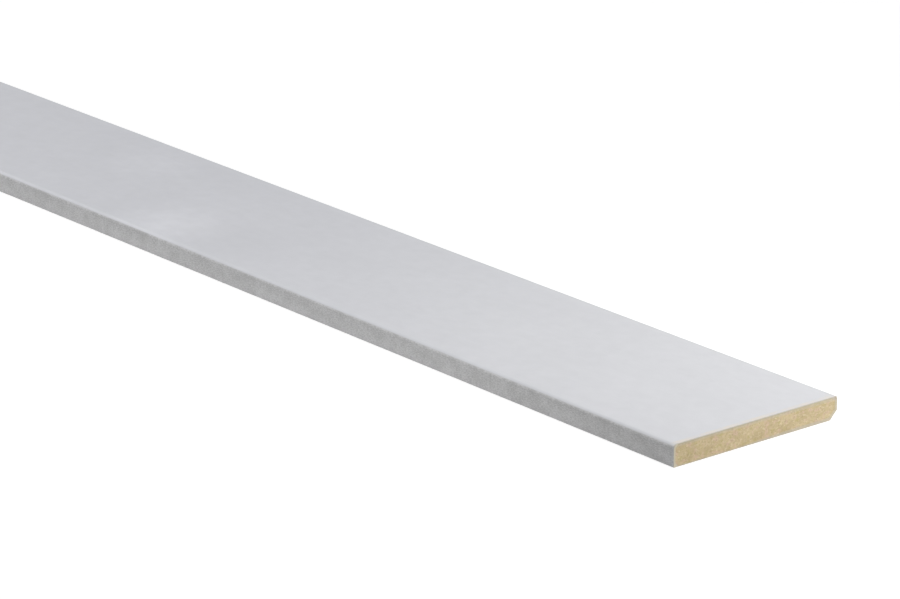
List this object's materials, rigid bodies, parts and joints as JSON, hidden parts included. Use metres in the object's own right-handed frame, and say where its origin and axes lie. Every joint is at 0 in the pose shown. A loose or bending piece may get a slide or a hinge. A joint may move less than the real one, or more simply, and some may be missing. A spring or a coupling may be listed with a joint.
{
  "type": "skirting board",
  "caption": "Straight flat skirting board of primed MDF with a rounded top front edge and a bevelled back floor edge, fixed along the foot of a wall.",
  "frame": {"origin": "middle of the back face, which is the lowest face as the board lies on its back", "axes": "+X along the board, +Y across it from the rounded top edge to the floor edge, +Z from the back face to the painted front face"},
  "size_m": [2.44, 0.14, 0.015],
  "materials": {
    "primer": "matte"
  },
  "bodies": {
    "root": {"skirting_board": "primer"}
  },
  "joints": []
}
